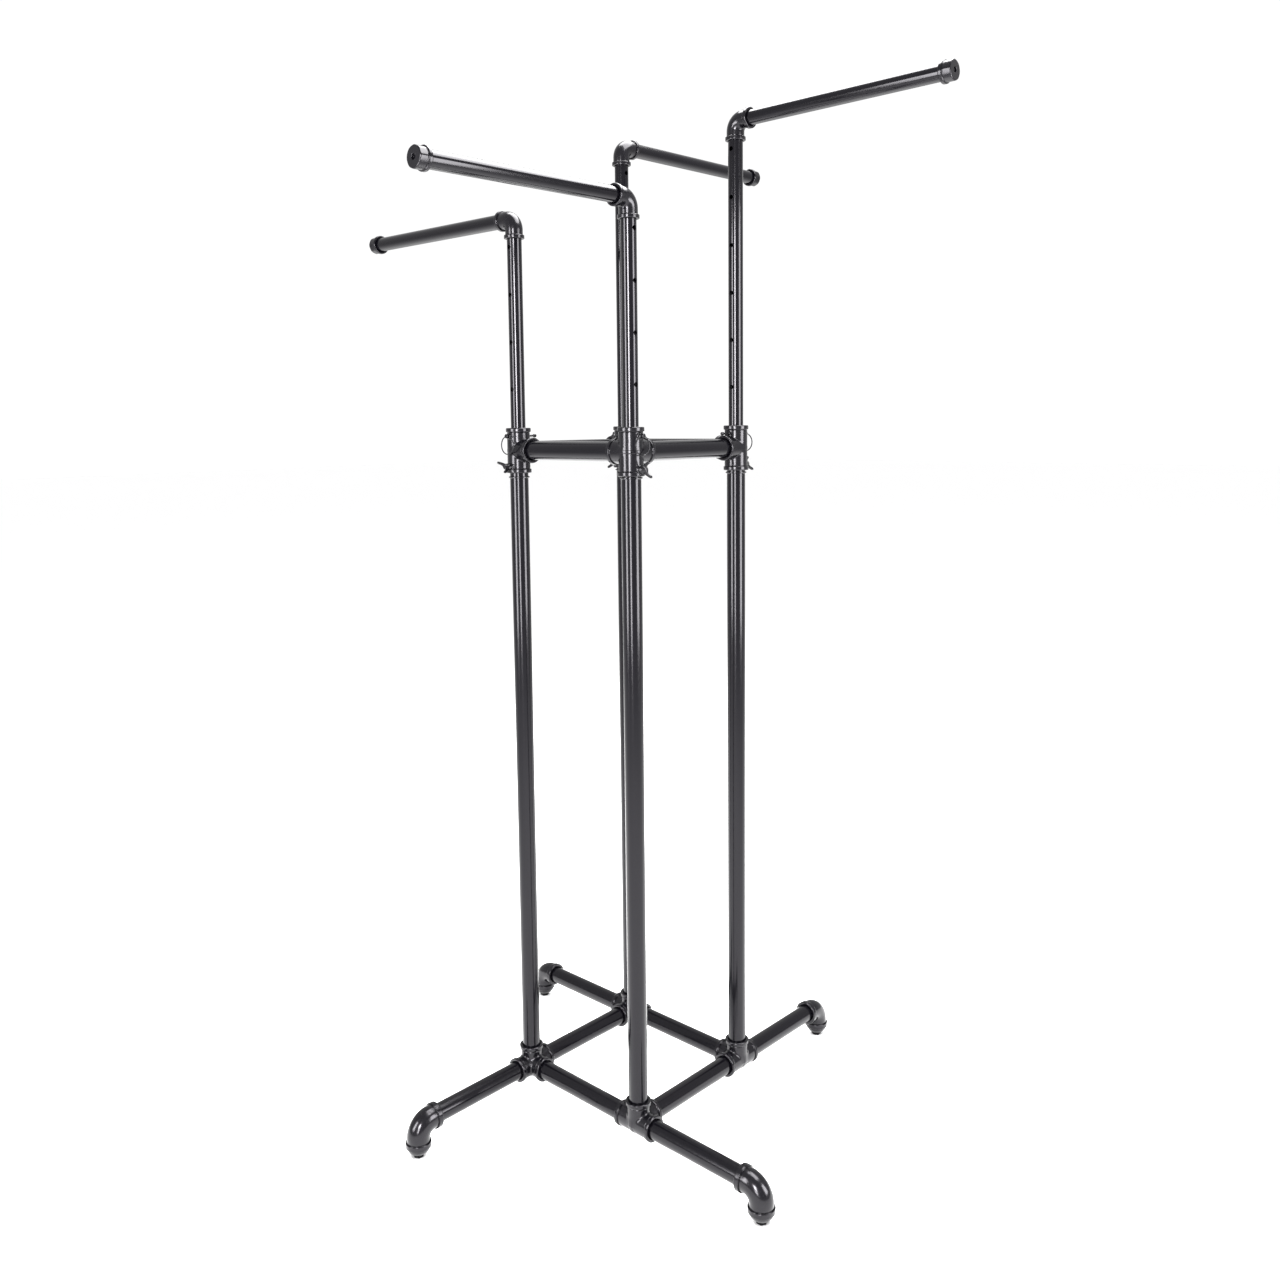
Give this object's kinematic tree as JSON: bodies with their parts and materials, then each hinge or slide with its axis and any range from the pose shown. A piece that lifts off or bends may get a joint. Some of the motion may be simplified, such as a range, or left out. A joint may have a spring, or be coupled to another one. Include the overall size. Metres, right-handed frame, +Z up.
{
  "type": "four way clothing rack",
  "caption": "Free-standing pipe clothing rack: square frame of pipes and cast fittings on angled legs, with height-adjustable hanger arms pointing four ways.",
  "frame": {"origin": "centre of the square frame at floor level", "axes": "+Z up; +X and +Y along the square's sides, so leg 1 points along +X and arm 1 along -Y; every corner repeats corner 1 turned 90 degrees about Z"},
  "size_m": [1.08, 1.08, 1.752],
  "materials": {
    "pipe_coat": "semi-gloss dark grey powder coat",
    "post_coat": "semi-gloss dark grey powder coat",
    "cast_coat": "semi-gloss powder coat over a cast surface",
    "cap_coat": "semi-gloss powder coat over a cast surface",
    "hardware_black": "black oxide, satin",
    "ring_wire": "dark steel wire",
    "foot_black": "black oxide, dull"
  },
  "bodies": {
    "frame": {"base_tee_1": "cast_coat", "base_rail_1": "pipe_coat", "foot_elbow_1": "cast_coat", "upright_1": "pipe_coat", "cross_tee_1": "cast_coat", "cross_rail_1": "pipe_coat", "base_tee_2": "cast_coat", "base_rail_2": "pipe_coat", "foot_elbow_2": "cast_coat", "upright_2": "pipe_coat", "cross_tee_2": "cast_coat", "cross_rail_2": "pipe_coat", "base_tee_3": "cast_coat", "base_rail_3": "pipe_coat", "foot_elbow_3": "cast_coat", "upright_3": "pipe_coat", "cross_tee_3": "cast_coat", "cross_rail_3": "pipe_coat", "base_tee_4": "cast_coat", "base_rail_4": "pipe_coat", "foot_elbow_4": "cast_coat", "upright_4": "pipe_coat", "cross_tee_4": "cast_coat", "cross_rail_4": "pipe_coat", "leg_pipes": "pipe_coat", "foot_plugs": "cast_coat", "upright_collars": "cast_coat", "guide_bushes": "cast_coat"},
    "post_arm_1": {"post_1": "post_coat", "arm_elbow_1": "cast_coat", "arm_tube_1": "post_coat", "arm_cap_1": "cap_coat"},
    "pin_1": {"lock_pin_1": "hardware_black"},
    "ring_1": {"pin_ring_1": "ring_wire"},
    "wing_1": {"wing_bolt_1": "hardware_black"},
    "foot_1": {"levelling_foot_1": "foot_black"},
    "post_arm_2": {"post_2": "post_coat", "arm_elbow_2": "cast_coat", "arm_tube_2": "post_coat", "arm_cap_2": "cap_coat"},
    "pin_2": {"lock_pin_2": "hardware_black"},
    "ring_2": {"pin_ring_2": "ring_wire"},
    "wing_2": {"wing_bolt_2": "hardware_black"},
    "foot_2": {"levelling_foot_2": "foot_black"},
    "post_arm_3": {"post_3": "post_coat", "arm_elbow_3": "cast_coat", "arm_tube_3": "post_coat", "arm_cap_3": "cap_coat"},
    "pin_3": {"lock_pin_3": "hardware_black"},
    "ring_3": {"pin_ring_3": "ring_wire"},
    "wing_3": {"wing_bolt_3": "hardware_black"},
    "foot_3": {"levelling_foot_3": "foot_black"},
    "post_arm_4": {"post_4": "post_coat", "arm_elbow_4": "cast_coat", "arm_tube_4": "post_coat", "arm_cap_4": "cap_coat"},
    "pin_4": {"lock_pin_4": "hardware_black"},
    "ring_4": {"pin_ring_4": "ring_wire"},
    "wing_4": {"wing_bolt_4": "hardware_black"},
    "foot_4": {"levelling_foot_4": "foot_black"}
  },
  "joints": [
    {"name": "post_1_slide", "type": "slide", "parent": "frame", "child": "post_arm_1", "axis": [0, 0, 1], "range_m": [-0.32, 0.16]},
    {"name": "lock_pin_1_pull", "type": "slide", "parent": "frame", "child": "pin_1", "axis": [1, 0, 0], "range_m": [0, 0.065]},
    {"name": "pin_ring_1_swing", "type": "hinge", "parent": "pin_1", "child": "ring_1", "pos_m": [0.1595, -0.134, 1.207], "axis": [0, -1, 0], "range_deg": [-5, 120]},
    {"name": "wing_bolt_1_turn", "type": "hinge", "parent": "frame", "child": "wing_1", "pos_m": [0.158, -0.134, 1.154], "axis": [1, 0, 0], "range_deg": [0, 720]},
    {"name": "levelling_foot_1_turn", "type": "hinge", "parent": "frame", "child": "foot_1", "pos_m": [0.392, -0.134, 0], "axis": [0, 0, 1], "continuous": true},
    {"name": "post_2_slide", "type": "slide", "parent": "frame", "child": "post_arm_2", "axis": [0, 0, 1], "range_m": [-0.48, 0]},
    {"name": "lock_pin_2_pull", "type": "slide", "parent": "frame", "child": "pin_2", "axis": [0, 1, 0], "range_m": [0, 0.065]},
    {"name": "pin_ring_2_swing", "type": "hinge", "parent": "pin_2", "child": "ring_2", "pos_m": [0.134, 0.1595, 1.207], "axis": [1, 0, 0], "range_deg": [-5, 120]},
    {"name": "wing_bolt_2_turn", "type": "hinge", "parent": "frame", "child": "wing_2", "pos_m": [0.134, 0.158, 1.154], "axis": [0, 1, 0], "range_deg": [0, 720]},
    {"name": "levelling_foot_2_turn", "type": "hinge", "parent": "frame", "child": "foot_2", "pos_m": [0.134, 0.392, 0], "axis": [0, 0, 1], "continuous": true},
    {"name": "post_3_slide", "type": "slide", "parent": "frame", "child": "post_arm_3", "axis": [0, 0, 1], "range_m": [-0.48, 0]},
    {"name": "lock_pin_3_pull", "type": "slide", "parent": "frame", "child": "pin_3", "axis": [-1, 0, 0], "range_m": [0, 0.065]},
    {"name": "pin_ring_3_swing", "type": "hinge", "parent": "pin_3", "child": "ring_3", "pos_m": [-0.1595, 0.134, 1.207], "axis": [0, 1, 0], "range_deg": [-5, 120]},
    {"name": "wing_bolt_3_turn", "type": "hinge", "parent": "frame", "child": "wing_3", "pos_m": [-0.158, 0.134, 1.154], "axis": [-1, 0, 0], "range_deg": [0, 720]},
    {"name": "levelling_foot_3_turn", "type": "hinge", "parent": "frame", "child": "foot_3", "pos_m": [-0.392, 0.134, 0], "axis": [0, 0, 1], "continuous": true},
    {"name": "post_4_slide", "type": "slide", "parent": "frame", "child": "post_arm_4", "axis": [0, 0, 1], "range_m": [-0.32, 0.16]},
    {"name": "lock_pin_4_pull", "type": "slide", "parent": "frame", "child": "pin_4", "axis": [0, -1, 0], "range_m": [0, 0.065]},
    {"name": "pin_ring_4_swing", "type": "hinge", "parent": "pin_4", "child": "ring_4", "pos_m": [-0.134, -0.1595, 1.207], "axis": [-1, 0, 0], "range_deg": [-5, 120]},
    {"name": "wing_bolt_4_turn", "type": "hinge", "parent": "frame", "child": "wing_4", "pos_m": [-0.134, -0.158, 1.154], "axis": [0, -1, 0], "range_deg": [0, 720]},
    {"name": "levelling_foot_4_turn", "type": "hinge", "parent": "frame", "child": "foot_4", "pos_m": [-0.134, -0.392, 0], "axis": [0, 0, 1], "continuous": true}
  ]
}
